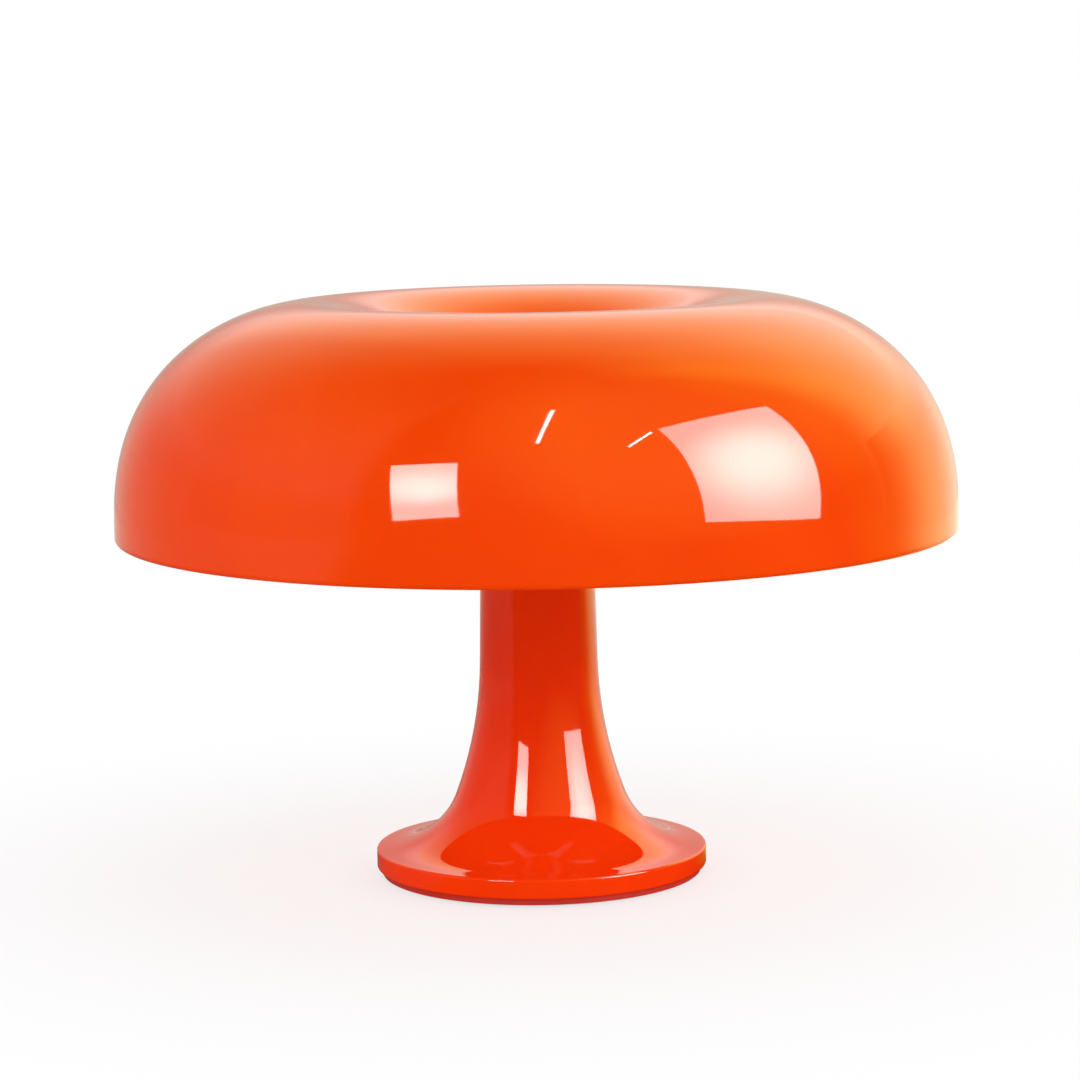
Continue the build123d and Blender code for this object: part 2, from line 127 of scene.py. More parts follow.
# Zinc on steel, electroplated: bright grey with a faint yellow-blue cloudiness and drawn marks.
zinc, tree, shader, place = fresh("steel_zinc_plated")
cloud = add(tree, "TexNoise", values={"Scale": 1 / (3 * mm), "Detail": 3.0}, links={"Vector": place})
tint = add(tree, "ValToRGB", links={"Fac": cloud.outputs["Fac"]})
tint.color_ramp.elements[0].position = 0.3
tint.color_ramp.elements[0].color = linear("#BDBFC0")
tint.color_ramp.elements[1].position = 0.7
tint.color_ramp.elements[1].color = linear("#D2CFC2")
wear = add(tree, "MapRange", values={"To Min": 0.22, "To Max": 0.38}, links={"Value": cloud.outputs["Fac"]})
marks = add(tree, "TexNoise", values={"Scale": 1 / (0.3 * mm), "Detail": 1.0}, links={"Vector": place})
relief = add(tree, "Bump", values={"Strength": 0.15, "Distance": 0.02 * mm},
             links={"Height": marks.outputs["Fac"]})
tree.links.new(tint.outputs["Color"], shader.inputs["Base Color"])
tree.links.new(wear.outputs["Result"], shader.inputs["Roughness"])
tree.links.new(relief.outputs["Normal"], shader.inputs["Normal"])
shader.inputs["Metallic"].default_value = 1.0
for node in ("cover_screws", "lower_washer", "lower_nut", "upper_washer", "upper_nut", "nut_cup"):
    finish_node(node, zinc)


def piece(name, points, faces, material, body, sharp=30.0):
    """A smooth-shaded mesh with sharp edges above an angle, riding on its body."""
    mesh = bpy.data.meshes.new(name)
    mesh.from_pydata([tuple(v * mm for v in p) for p in points], [], faces)
    mesh.validate()
    mesh.shade_smooth()
    mesh.set_sharp_from_angle(angle=math.radians(sharp))
    mesh.materials.append(material)
    made = bpy.data.objects.new(name, mesh)
    scene.collection.objects.link(made)
    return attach(made, body)


def turned(outline, turns, shape=None, closed=True):
    """Points and faces of an outline of radius and height turned about the lamp's axis."""
    points, faces, rows = [], [], []
    for radius, height in outline:
        if radius <= 0:
            rows.append([len(points)] * turns)
            points.append((0.0, 0.0, height))
            continue
        rows.append(list(range(len(points), len(points) + turns)))
        for step in range(turns):
            angle = 2 * math.pi * step / turns
            reach = shape(angle, radius, height) if shape else radius
            points.append((reach * math.cos(angle), reach * math.sin(angle), height))
    pairs = list(zip(rows, rows[1:] + rows[:1])) if closed else list(zip(rows, rows[1:]))
    for low, high in pairs:
        for step in range(turns):
            onward = (step + 1) % turns
            corners = []
            for corner in (low[step], low[onward], high[onward], high[step]):
                if corner not in corners:
                    corners.append(corner)
            if len(corners) > 2:
                faces.append(corners)
    return points, faces


def rounded(corners, radii, step=6.0):
    """An outline with its inner corners rounded, an arc point about every few degrees."""
    line = [corners[0]]
    for before, corner, after, radius in zip(corners, corners[1:], corners[2:], radii):
        if not radius:
            line.append(corner)
            continue
        here = Vector(corner)
        back = (Vector(before) - here).normalized()
        ahead = (Vector(after) - here).normalized()
        half = back.angle(ahead) / 2
        centre = here + (back + ahead).normalized() * (radius / math.sin(half))
        start = here + back * (radius / math.tan(half)) - centre
        sweep = math.pi - 2 * half
        side = 1 if back.x * ahead.y - back.y * ahead.x < 0 else -1
        count = max(3, round(math.degrees(sweep) / step))
        for index in range(count + 1):
            turn = Matrix.Rotation(side * sweep * index / count, 2)
            line.append(tuple(centre + turn @ start))
    line.append(corners[-1])
    return line


rod_radius = 3.0
rod_bottom = 2.9
rod_top = 176.0
rod_foot_chamfer = 0.4
rod_tip_chamfer = 0.6
thread_start = 158.0
thread_run_in = 0.2
thread_run_out = 0.7
thread_length = 17.2
thread_pitch = 1.0
thread_depth = 0.5
thread_step = thread_pitch / 8
rod_turns = 48


def thread(angle, radius, height):
    """Radius of the rod where its M6 thread winds up it."""
    if height < thread_start or height > rod_top - thread_run_out:
        return radius
    phase = (height / thread_pitch - angle / (2 * math.pi)) % 1.0
    return radius - thread_depth * (1 - abs(2 * phase - 1))


rod_line = [(0.0, rod_bottom), (rod_radius - rod_foot_chamfer, rod_bottom),
            (rod_radius, rod_bottom + rod_foot_chamfer), (rod_radius, thread_start - thread_run_in)]
thread_rings = int(thread_length / thread_step)
rod_line += [(rod_radius, thread_start + thread_step * ring) for ring in range(thread_rings)]
rod_line += [(rod_radius, rod_top - rod_tip_chamfer), (rod_radius - rod_tip_chamfer, rod_top),
             (0.0, rod_top)]
points, faces = turned(rod_line, rod_turns, thread, closed=False)
rod = piece("tie_rod_threaded", points, faces, zinc, "root", sharp=50.0)
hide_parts("tie_rod")

# Counterweight: the stepped disc that keeps the lamp standing, hidden in the base.
# Pressed steel, phosphated black, clamped under the stem by the tie rod.

# Steel, phosphated: matt black-grey crystals with a grainy face of about 1 mm.
phosphated, tree, shader, place = fresh("steel_phosphated")
crystals = add(tree, "TexVoronoi", values={"Scale": 1 / (1.0 * mm)}, links={"Vector": place})
tint = add(tree, "ValToRGB", links={"Fac": crystals.outputs["Distance"]})
tint.color_ramp.elements[0].color = linear("#2B2C2E")
tint.color_ramp.elements[1].color = linear("#3A3B3D")
relief = add(tree, "Bump", values={"Strength": 0.3, "Distance": 0.05 * mm},
             links={"Height": crystals.outputs["Distance"]})
tree.links.new(tint.outputs["Color"], shader.inputs["Base Color"])
tree.links.new(relief.outputs["Normal"], shader.inputs["Normal"])
shader.inputs["Roughness"].default_value = 0.6
shader.inputs["Metallic"].default_value = 0.6
finish_node("counterweight", phosphated)

# Stem and base: one hollow moulding that flares from the neck into the round base.
# ABS, injection-moulded in a polished tool, clamped by the tie rod; the cord bush sits in its rear edge.

stem_wall = 3.0
neck_radius = 21.6
stem_top = 134.0
waist = (23.1, 55.8)
waist_curve = 155.0
flare_foot = (39.4, 12.8)
flare_curve = 31.0
base_radius = 63.4
base_top = 10.6
base_edge_rounding = 0.9
base_lower_edge = 3.2
base_lower_rounding = 0.8
cavity_radius = base_radius - stem_wall
cavity_top = 7.86
cavity_flare_foot = (37.26, 9.98)
cavity_waist = (20.11, 55.22)
stem_turns = 256
stem_corners = [(neck_radius, stem_top), waist, flare_foot, (base_radius, base_top),
                (base_radius, base_lower_edge), (cavity_radius, base_lower_edge)]
stem_line = rounded(stem_corners, [waist_curve, flare_curve, base_edge_rounding, base_lower_rounding], 2.0)
cavity_corners = [(cavity_radius, base_lower_edge), (cavity_radius, cavity_top), cavity_flare_foot,
                  cavity_waist, (neck_radius - stem_wall, stem_top)]
stem_line += rounded(cavity_corners, [0.0, flare_curve + stem_wall, waist_curve + stem_wall], 4.0)[1:]


longest_run = 4.0


def divided(line, longest):
    """The same outline with its long runs divided, so that no run passes a length."""
    fine = [line[0]]
    for start, end in zip(line, line[1:]):
        parts = max(1, math.ceil(math.dist(start, end) / longest))
        for part in range(1, parts + 1):
            share = part / parts
            fine.append((start[0] + (end[0] - start[0]) * share, start[1] + (end[1] - start[1]) * share))
    return fine


def gloss_abs(name, deep, bright):
    """Polished ABS in one colour, between two close shades of it."""
    # Moulded in a polished tool: glassy, coloured right through, with a barely wavy skin 30 mm long, flow
    # lines that shift its colour by a hair, and dust and rubbing of 0.4 mm that soften the gloss.
    material, tree, shader, place = fresh(name)
    flow = add(tree, "TexNoise", values={"Scale": 1 / (60 * mm), "Detail": 3.0, "Distortion": 0.6},
               links={"Vector": place})
    tint = add(tree, "ValToRGB", links={"Fac": flow.outputs["Fac"]})
    tint.color_ramp.elements[0].position = 0.3
    tint.color_ramp.elements[0].color = linear(deep)
    tint.color_ramp.elements[1].position = 0.72
    tint.color_ramp.elements[1].color = linear(bright)
    dust = add(tree, "TexNoise", values={"Scale": 1 / (0.4 * mm), "Detail": 2.0}, links={"Vector": place})
    rubbed = add(tree, "TexNoise", values={"Scale": 1 / (25 * mm), "Detail": 4.0, "Roughness": 0.6},
                 links={"Vector": place})
    both = add(tree, "Math", {"operation": "MULTIPLY"},
               links={0: dust.outputs["Fac"], 1: rubbed.outputs["Fac"]})
    dull = add(tree, "MapRange", values={"From Min": 0.1, "From Max": 0.45, "To Min": 0.02, "To Max": 0.055},
               links={"Value": both.outputs["Value"]})
    skin = add(tree, "TexNoise", values={"Scale": 1 / (30 * mm), "Detail": 1.0}, links={"Vector": place})
    relief = add(tree, "Bump", values={"Strength": 0.06, "Distance": 1.0 * mm},
                 links={"Height": skin.outputs["Fac"]})
    tree.links.new(tint.outputs["Color"], shader.inputs["Base Color"])
    tree.links.new(dull.outputs["Result"], shader.inputs["Roughness"])
    tree.links.new(relief.outputs["Normal"], shader.inputs["Normal"])
    shader.inputs["IOR"].default_value = 1.53
    return material


# This copy of the gloss ABS is redder than the shade's, partly as the moulding's own tone and partly as
# painted shade: the orange-tinted shade under the dome is put into its colours. The knob wears it too.
stem_abs_with_painted_shade = gloss_abs("abs_polished_red_orange_painted_shade", "#EB3304", "#EF3B05")
points, faces = turned(divided(stem_line, longest_run), stem_turns)
stem = piece("stem_base_skin", points, faces, stem_abs_with_painted_shade, "root")
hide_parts("stem_base")

bush_radius = 3.5
inlet_height = 5.4
notch_start = 57.4
notch_end = 66.0
notch_foot = -1.0
notch_step = 6


def cut_away(made, points, faces, sharp=30.0):
    """Takes a closed shape out of a piece and leaves the result as its own mesh."""
    mesh = bpy.data.meshes.new("cutter")
    mesh.from_pydata([tuple(v * mm for v in p) for p in points], [], faces)
    cutter = bpy.data.objects.new("cutter", mesh)
    scene.collection.objects.link(cutter)
    cut = made.modifiers.new("cut", "BOOLEAN")
    cut.operation = "DIFFERENCE"
    cut.solver = "EXACT"
    cut.object = cutter
    bpy.context.view_layer.update()
    result = made.evaluated_get(bpy.context.evaluated_depsgraph_get())
    finished = bpy.data.meshes.new_from_object(result)
    made.modifiers.clear()
    made.data = finished
    finished.set_sharp_from_angle(angle=math.radians(sharp))
    bpy.data.objects.remove(cutter)
    bpy.data.meshes.remove(mesh)


# The notch in the base's rear edge: a slot up from below that ends in the bush's round seat.
arch = [(-bush_radius, notch_foot), (bush_radius, notch_foot)]
for degrees in range(0, 181, notch_step):
    turn = math.radians(degrees)
    arch.append((bush_radius * math.cos(turn), inlet_height + bush_radius * math.sin(turn)))
points = [(x, y, z) for y in (notch_start, notch_end) for x, z in arch]
around = len(arch)
faces = [[step, (step + 1) % around, around + (step + 1) % around, around + step]
         for step in range(around)]
faces += [list(range(around))[::-1], list(range(around, 2 * around))]
cut_away(stem, points, faces)

# Cord bush: the soft sleeve at the back of the base through which the cord enters.
# Moulded rubber in the lamp's colour, gripped between the base and the bottom cover.

# Rubber, moulded: matt red-orange with the dull, slightly uneven face of a soft moulding.
bush_rubber, tree, shader, place = fresh("rubber_moulded_red_orange")
uneven = add(tree, "TexNoise", values={"Scale": 1 / (0.6 * mm), "Detail": 3.0}, links={"Vector": place})
tint = add(tree, "ValToRGB", links={"Fac": uneven.outputs["Fac"]})
tint.color_ramp.elements[0].color = linear("#B02A0C")
tint.color_ramp.elements[1].color = linear("#C23814")
relief = add(tree, "Bump", values={"Strength": 0.3, "Distance": 0.05 * mm},
             links={"Height": uneven.outputs["Fac"]})
tree.links.new(tint.outputs["Color"], shader.inputs["Base Color"])
tree.links.new(relief.outputs["Normal"], shader.inputs["Normal"])
shader.inputs["Roughness"].default_value = 0.62
finish_node("cord_bush", bush_rubber)

# Terminal block and its screws: joins the cord to the four leads inside the base.
# Natural polyamide, moulded, with brass screws sunk in its top.

# Polyamide, moulded, natural: milky off-white, satin, a little see-through at its edges.
polyamide, tree, shader, place = fresh("polyamide_moulded_natural")
milky = add(tree, "TexNoise", values={"Scale": 1 / (5 * mm), "Detail": 2.0}, links={"Vector": place})
tint = add(tree, "ValToRGB", links={"Fac": milky.outputs["Fac"]})
tint.color_ramp.elements[0].color = linear("#D8D4C4")
tint.color_ramp.elements[1].color = linear("#E6E3D6")
tree.links.new(tint.outputs["Color"], shader.inputs["Base Color"])
shader.inputs["Roughness"].default_value = 0.42
shader.inputs["IOR"].default_value = 1.53
finish_node("terminal_block", polyamide)

# Brass, machined: warm yellow, with turning marks that break up its shine. The real ones are about 0.2 mm
# apart; they are drawn coarser, so that they show.
brass, tree, shader, place = fresh("brass_machined")
tarnish = add(tree, "TexNoise", values={"Scale": 1 / (2 * mm), "Detail": 3.0}, links={"Vector": place})
tint = add(tree, "ValToRGB", links={"Fac": tarnish.outputs["Fac"]})
tint.color_ramp.elements[0].color = linear("#C9A45A")
tint.color_ramp.elements[1].color = linear("#E0BF74")
dull = add(tree, "MapRange", values={"To Min": 0.25, "To Max": 0.42}, links={"Value": tarnish.outputs["Fac"]})
turning = add(tree, "TexWave", {"bands_direction": "Z"}, {"Scale": 1 / (4 * mm), "Distortion": 0.5},
              {"Vector": place})
relief = add(tree, "Bump", values={"Strength": 0.1, "Distance": 0.02 * mm},
             links={"Height": turning.outputs["Fac"]})
tree.links.new(tint.outputs["Color"], shader.inputs["Base Color"])
tree.links.new(dull.outputs["Result"], shader.inputs["Roughness"])
tree.links.new(relief.outputs["Normal"], shader.inputs["Normal"])
shader.inputs["Metallic"].default_value = 1.0
finish_node("terminal_screws", brass)
finish_node("knob_insert", brass)

# Leads: one sleeved pair from each lampholder down the stem to the terminal block.
# Silicone-coated wires in a woven glass-fibre sleeve, which stands the heat of the bulbs.

# Glass fibre, braided: off-white, matt, with strands that cross about every 0.6 mm.
sleeve, tree, shader, place = fresh("glass_fibre_braided")
strands = add(tree, "TexWave", {"bands_direction": "DIAGONAL"}, {"Scale": 1 / (12 * mm), "Distortion": 2.0},
              {"Vector": place})
tint = add(tree, "ValToRGB", links={"Fac": strands.outputs["Fac"]})
tint.color_ramp.elements[0].color = linear("#CFC8B6")
tint.color_ramp.elements[1].color = linear("#EDE8DA")
relief = add(tree, "Bump", values={"Strength": 0.5, "Distance": 0.15 * mm},
             links={"Height": strands.outputs["Fac"]})
tree.links.new(tint.outputs["Color"], shader.inputs["Base Color"])
tree.links.new(relief.outputs["Normal"], shader.inputs["Normal"])
shader.inputs["Roughness"].default_value = 0.7
for number in (1, 2, 3, 4):
    finish_node(f"lead_{number}", sleeve)

# Carrier: the drum on top of the stem, in two halves that clamp the lampholders between them.
# Heat-resistant polyester compound, moulded white, held together by the upper nut on the tie rod.

# Polyester compound, moulded: warm white, satin, with a faint grain of 0.7 mm and greyer flow patches.
compound, tree, shader, place = fresh("polyester_compound_moulded")
patches = add(tree, "TexNoise", values={"Scale": 1 / (18 * mm), "Detail": 4.0}, links={"Vector": place})
tint = add(tree, "ValToRGB", links={"Fac": patches.outputs["Fac"]})
tint.color_ramp.elements[0].position = 0.3
tint.color_ramp.elements[0].color = linear("#DEDBD2")
tint.color_ramp.elements[1].position = 0.75
tint.color_ramp.elements[1].color = linear("#E9E7E0")
grain = add(tree, "TexNoise", values={"Scale": 1 / (0.7 * mm), "Detail": 2.0}, links={"Vector": place})
dull = add(tree, "MapRange", values={"To Min": 0.4, "To Max": 0.55}, links={"Value": grain.outputs["Fac"]})
relief = add(tree, "Bump", values={"Strength": 0.2, "Distance": 0.05 * mm},
             links={"Height": grain.outputs["Fac"]})
tree.links.new(tint.outputs["Color"], shader.inputs["Base Color"])
tree.links.new(dull.outputs["Result"], shader.inputs["Roughness"])
tree.links.new(relief.outputs["Normal"], shader.inputs["Normal"])
finish_node("carrier_lower", compound)
finish_node("carrier_upper", compound)

# Lampholders and contacts: round holders for two-pin bulbs, clamped in the carrier in a cross.
# Steatite, pressed and fired, with nickel-plated contact springs deep in their slots.

# Steatite, fired, unglazed: ivory white with tiny pits of 0.5 mm and a dry satin face.
steatite, tree, shader, place = fresh("steatite_fired")
pits = add(tree, "TexVoronoi", values={"Scale": 1 / (0.5 * mm)}, links={"Vector": place})
firing = add(tree, "TexNoise", values={"Scale": 1 / (8 * mm), "Detail": 3.0}, links={"Vector": place})
tint = add(tree, "ValToRGB", links={"Fac": firing.outputs["Fac"]})
tint.color_ramp.elements[0].color = linear("#E2DCCB")
tint.color_ramp.elements[1].color = linear("#F0ECDF")
relief = add(tree, "Bump", values={"Strength": 0.25, "Distance": 0.05 * mm},
             links={"Height": pits.outputs["Distance"]})
tree.links.new(tint.outputs["Color"], shader.inputs["Base Color"])
tree.links.new(relief.outputs["Normal"], shader.inputs["Normal"])
shader.inputs["Roughness"].default_value = 0.48
shader.inputs["IOR"].default_value = 1.6

# Nickel on steel, electroplated: warm grey, smooth, with soft cloudy patches.
nickel, tree, shader, place = fresh("steel_nickel_plated")
cloud = add(tree, "TexNoise", values={"Scale": 1 / (1.5 * mm), "Detail": 3.0}, links={"Vector": place})
tint = add(tree, "ValToRGB", links={"Fac": cloud.outputs["Fac"]})
tint.color_ramp.elements[0].color = linear("#BDB7AC")
tint.color_ramp.elements[1].color = linear("#CFCAC0")
dull = add(tree, "MapRange", values={"To Min": 0.2, "To Max": 0.34}, links={"Value": cloud.outputs["Fac"]})
tree.links.new(tint.outputs["Color"], shader.inputs["Base Color"])
tree.links.new(dull.outputs["Result"], shader.inputs["Roughness"])
shader.inputs["Metallic"].default_value = 1.0
for number in (1, 2, 3, 4):
    finish_node(f"lampholder_{number}", steatite)
    finish_node(f"contacts_{number}", nickel)
    finish_node(f"bulb_{number}_pins", nickel)

# Bulbs: four two-pin bulbs that lie flat in a cross inside the shade and pull straight out.
# A moulded polyamide base with the pins, and an opal polycarbonate cover glued into its collar.

# Polycarbonate, moulded, opal: milky white that light soaks into, smooth and softly shiny.
opal, tree, shader, place = fresh("polycarbonate_opal")
milky = add(tree, "TexNoise", values={"Scale": 1 / (10 * mm), "Detail": 2.0}, links={"Vector": place})
tint = add(tree, "ValToRGB", links={"Fac": milky.outputs["Fac"]})
tint.color_ramp.elements[0].color = linear("#D6D2C8")
tint.color_ramp.elements[1].color = linear("#E2DFD7")
dull = add(tree, "MapRange", values={"To Min": 0.16, "To Max": 0.24}, links={"Value": milky.outputs["Fac"]})
tree.links.new(tint.outputs["Color"], shader.inputs["Base Color"])
tree.links.new(dull.outputs["Result"], shader.inputs["Roughness"])
shader.inputs["IOR"].default_value = 1.58
shader.inputs["Subsurface Weight"].default_value = 0.25
shader.inputs["Subsurface Radius"].default_value = (1.0, 0.9, 0.8)
shader.inputs["Subsurface Scale"].default_value = 2 * mm
for number in (1, 2, 3, 4):
    finish_node(f"bulb_{number}_dome", opal)
    finish_node(f"bulb_{number}_base", polyamide)

# Shade: the hollow ring-shaped dome with a funnel in its middle, down to the floor that the knob presses on.
# ABS, injection-moulded in a polished tool, with a 3 mm wall, a rounded rim and a short skirt on the carrier.

shade_radius = 160.0
shade_wall = 3.0
neck_wall = 2.6
rim_height = 132.5
widest_height = 136.8
crest_height = 221.0
crest_radius = 84.6
throat_radius = 22.0
throat_height = 167.0
floor_top = 165.0
floor_bottom = 162.0
skirt_bottom = 158.0
rod_hole_radius = 3.4
rim_inner_rounding = 0.8
rim_outer_rounding = 2.0
floor_rounding = 1.5
dome_power_across = 1.89
dome_power_up = 2.41
funnel_power = 2.0
crown_steps = 70
shade_turns = 288


def crown(width, rise, power_across, power_up, side, base, inset):
    """One side of the shade's crown, from its foot to the crest, moved in by the wall."""
    line = []
    for step in range(crown_steps + 1):
        turn = math.pi / 2 * step / crown_steps
        across = 0.0 if step == crown_steps else math.cos(turn) ** (2 / power_across)
        up = math.sin(turn) ** (2 / power_up)
        slope = (power_across / width * across ** (power_across - 1),
                 power_up / rise * up ** (power_up - 1))
        steepness = math.hypot(*slope)
        radius = crest_radius + side * (width * across - inset * slope[0] / steepness)
        line.append((radius, base + rise * up - inset * slope[1] / steepness))
    return line


outward, inward = 1, -1
dome_size = (shade_radius - crest_radius, crest_height - widest_height, dome_power_across, dome_power_up,
             outward, widest_height)
funnel_size = (crest_radius - throat_radius, crest_height - throat_height, funnel_power, funnel_power,
               inward, throat_height)
dome = crown(*dome_size, 0.0)
funnel = crown(*funnel_size, 0.0)
dome_inside = crown(*dome_size, shade_wall)
funnel_inside = crown(*funnel_size, neck_wall)
rim = rounded([dome_inside[0], (shade_radius - shade_wall, rim_height), (shade_radius, rim_height),
               dome[0]], [rim_inner_rounding, rim_outer_rounding])
lower = rounded([funnel[0], (throat_radius, floor_top), (rod_hole_radius, floor_top),
                 (rod_hole_radius, floor_bottom), (throat_radius, floor_bottom),
                 (throat_radius, skirt_bottom), (throat_radius + neck_wall, skirt_bottom),
                 funnel_inside[0]], [floor_rounding, 0.0, 0.0, 0.0, 0.0, 0.0])
funnel_inside[-1] = (crest_radius, crest_height - shade_wall)
shade_line = rim + dome[1:] + funnel[-2:0:-1] + lower + funnel_inside[1:] + dome_inside[-2:0:-1]
shade_abs = gloss_abs("abs_polished_orange", "#EA3F04", "#EE4505")
points, faces = turned(divided(shade_line, longest_run), shade_turns)
shade = piece("shade_skin", points, faces, shade_abs, "shade")
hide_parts("shade")

# Fibre washer: lets the lock knob turn on the shade's floor without rubbing the gloss off it.
# Vulcanised fibre, punched from sheet, laid loose on the tie rod.

# Fibre, vulcanised: reddish brown, dense and horny, with short fibres about 1 mm long.
fibre, tree, shader, place = fresh("fibre_vulcanised")
fibres = add(tree, "TexNoise", values={"Scale": 1 / (1.0 * mm), "Detail": 5.0, "Distortion": 1.5},
             links={"Vector": place})
tint = add(tree, "ValToRGB", links={"Fac": fibres.outputs["Fac"]})
tint.color_ramp.elements[0].color = linear("#6A2C16")
tint.color_ramp.elements[1].color = linear("#86401F")
relief = add(tree, "Bump", values={"Strength": 0.3, "Distance": 0.05 * mm},
             links={"Height": fibres.outputs["Fac"]})
tree.links.new(tint.outputs["Color"], shader.inputs["Base Color"])
tree.links.new(relief.outputs["Normal"], shader.inputs["Normal"])
shader.inputs["Roughness"].default_value = 0.55
finish_node("fibre_washer", fibre)

# Lock knob: the fluted round nut in the funnel that holds the shade down, with a brass insert.
# ABS, injection-moulded in the lamp's colour, with twelve finger flutes and a softly rounded top.

knob_radius = 15.0
knob_bottom = 166.2
knob_top = 182.0
flute_count = 12
flute_radius = 3.0
flute_depth = 1.2
flute_centre = knob_radius + flute_radius - flute_depth
flute_blend = 0.35
insert_radius = 5.0
insert_top = 177.0
knob_top_rounding = 4.0
knob_foot_rounding = 0.5
knob_run = 1.2
knob_turns = 288


def fluted(angle, radius, height):
    """Radius of the knob at an angle, where a finger flute may cut into it with a soft edge."""
    if radius <= insert_radius + 0.1:
        return radius
    pitch = 2 * math.pi / flute_count
    off = (angle + pitch / 2) % pitch - pitch / 2
    across = flute_centre * math.sin(off)
    if abs(across) >= flute_radius:
        return radius
    cut = flute_centre * math.cos(off) - math.sqrt(flute_radius ** 2 - across ** 2)
    gap = cut - radius
    if gap > flute_blend:
        return radius
    if gap < -flute_blend:
        return cut
    return radius - (flute_blend - gap) ** 2 / (4 * flute_blend)


knob_line = rounded([(0.0, knob_top), (knob_radius, knob_top), (knob_radius, knob_bottom),
                     (insert_radius, knob_bottom)], [knob_top_rounding, knob_foot_rounding], 7.0)
knob_line += [(insert_radius, insert_top), (0.0, insert_top)]
knob_line = knob_line[:1] + divided(knob_line[1:], knob_run)
points, faces = turned(knob_line[::-1], knob_turns, fluted, closed=False)
knob = piece("lock_knob_fluted", points, faces, stem_abs_with_painted_shade, "knob", sharp=40.0)
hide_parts("lock_knob")

# Floor: the plain white table top that the lamp stands on, which keeps the lamp's shadow.
# It is white to the camera beyond the lamp. What the lamp's gloss mirrors of it is a glow that follows the
# walls of the room: dark in front, pale to the left, white behind and bright with warm light to the right.
# Near the lamp that glow is dimmer, as a painted shadow of the lamp.

wall_full = 2.4


def walls_around(tree, way):
    """How high a direction points, and the walls' colour at its compass bearing from the front."""
    split = add(tree, "SeparateXYZ", links={"Vector": way})
    frontward = add(tree, "Math", {"operation": "MULTIPLY"}, {1: -1.0}, {0: split.outputs["Y"]})
    bearing = add(tree, "Math", {"operation": "ARCTAN2"},
                  links={0: split.outputs["X"], 1: frontward.outputs["Value"]})
    share = add(tree, "MapRange", values={"From Min": -math.pi, "From Max": math.pi},
                links={"Value": bearing.outputs["Value"]})
    ramp = add(tree, "ValToRGB", links={"Fac": share.outputs["Result"]})
    # Bearing, level and share of blue. The ramp's two ends come first, because it starts with them.
    stops = [(-180, 1.38, 0.87), (180, 1.38, 0.87), (-166, 1.2, 0.87), (-158, 0.9, 0.87),
             (-144, 0.72, 0.85), (-130, 0.5, 0.85), (-110, 0.34, 0.9), (-54, 0.34, 1.0), (-47, 0.03, 1.0),
             (86, 0.03, 1.0), (95, 0.42, 0.05), (104, 0.62, 0.12), (111, 1.3, 0.2), (117, 1.95, 0.27),
             (125, 2.3, 0.35), (134, 2.15, 0.45), (142, 2.05, 0.6), (152, 1.95, 0.7), (165, 1.58, 0.82)]
    elements = ramp.color_ramp.elements
    for degrees, level, blue in stops:
        spot = (degrees + 180) / 360
        stop = elements[int(spot)] if spot in (0, 1) else elements.new(spot)
        stop.color = (level / wall_full, level / wall_full, level * blue / wall_full, 1.0)
    return split.outputs["Z"], ramp.outputs["Color"]


# Lacquer, sprayed white: a plain matt face with next to no shine.
table, tree, shader, place = fresh("table_white_matt")
shader.inputs["Base Color"].default_value = linear("#F2F2F2")
shader.inputs["Roughness"].default_value = 0.9
shader.inputs["Specular IOR Level"].default_value = 0.1
reach = add(tree, "VectorMath", {"operation": "LENGTH"}, links={0: place})
glow = add(tree, "Emission", values={"Color": (1.0, 1.0, 1.0, 1.0), "Strength": 1.0})
seen = add(tree, "LightPath")
far = add(tree, "MapRange", {"interpolation_type": "SMOOTHSTEP"},
          {"From Min": 0.08, "From Max": 0.35, "To Min": 0.66, "To Max": 1.0},
          {"Value": reach.outputs["Value"]})
white = add(tree, "Math", {"operation": "MULTIPLY"},
            links={0: far.outputs["Result"], 1: seen.outputs["Is Camera Ray"]})
lit = add(tree, "MixShader", links={0: white.outputs["Value"], 1: shader.outputs["BSDF"],
                                    2: glow.outputs["Emission"]})
walls = walls_around(tree, place)[1]
# Dimmer close to the lamp: a painted shadow of the lamp in the mirrored floor.
near = add(tree, "MapRange", {"interpolation_type": "SMOOTHSTEP"},
           {"From Min": 0.2, "From Max": 1.1, "To Min": 0.3 * wall_full, "To Max": 0.72 * wall_full},
           {"Value": reach.outputs["Value"]})
mirrored = add(tree, "Emission", links={"Color": walls, "Strength": near.outputs["Result"]})
whole = add(tree, "MixShader", links={0: seen.outputs["Is Glossy Ray"], 1: lit.outputs["Shader"],
                                      2: mirrored.outputs["Emission"]})
# From below the table can be looked through, so that the lamp's underside shows.
below = add(tree, "NewGeometry")
one_way = add(tree, "MixShader", links={0: below.outputs["Backfacing"], 1: whole.outputs["Shader"],
                                        2: add(tree, "BsdfTransparent").outputs["BSDF"]})
out = [node for node in tree.nodes if node.type == "OUTPUT_MATERIAL"][0]
tree.links.new(one_way.outputs["Shader"], out.inputs["Surface"])
half = 6.0
sunk = -0.1 * mm
floor_mesh = bpy.data.meshes.new("floor")
floor_mesh.from_pydata([(-half, -half, sunk), (half, -half, sunk), (half, half, sunk),
                        (-half, half, sunk)], [], [(0, 1, 2, 3)])
floor_mesh.materials.append(table)
floor = bpy.data.objects.new("floor", floor_mesh)
scene.collection.objects.link(floor)

# Room: white to the camera, even soft light on the lamp, and walls that its gloss mirrors.
# The walls fade to a dark ceiling and turn warmer as they rise. A warm glow hangs in front, to the right.

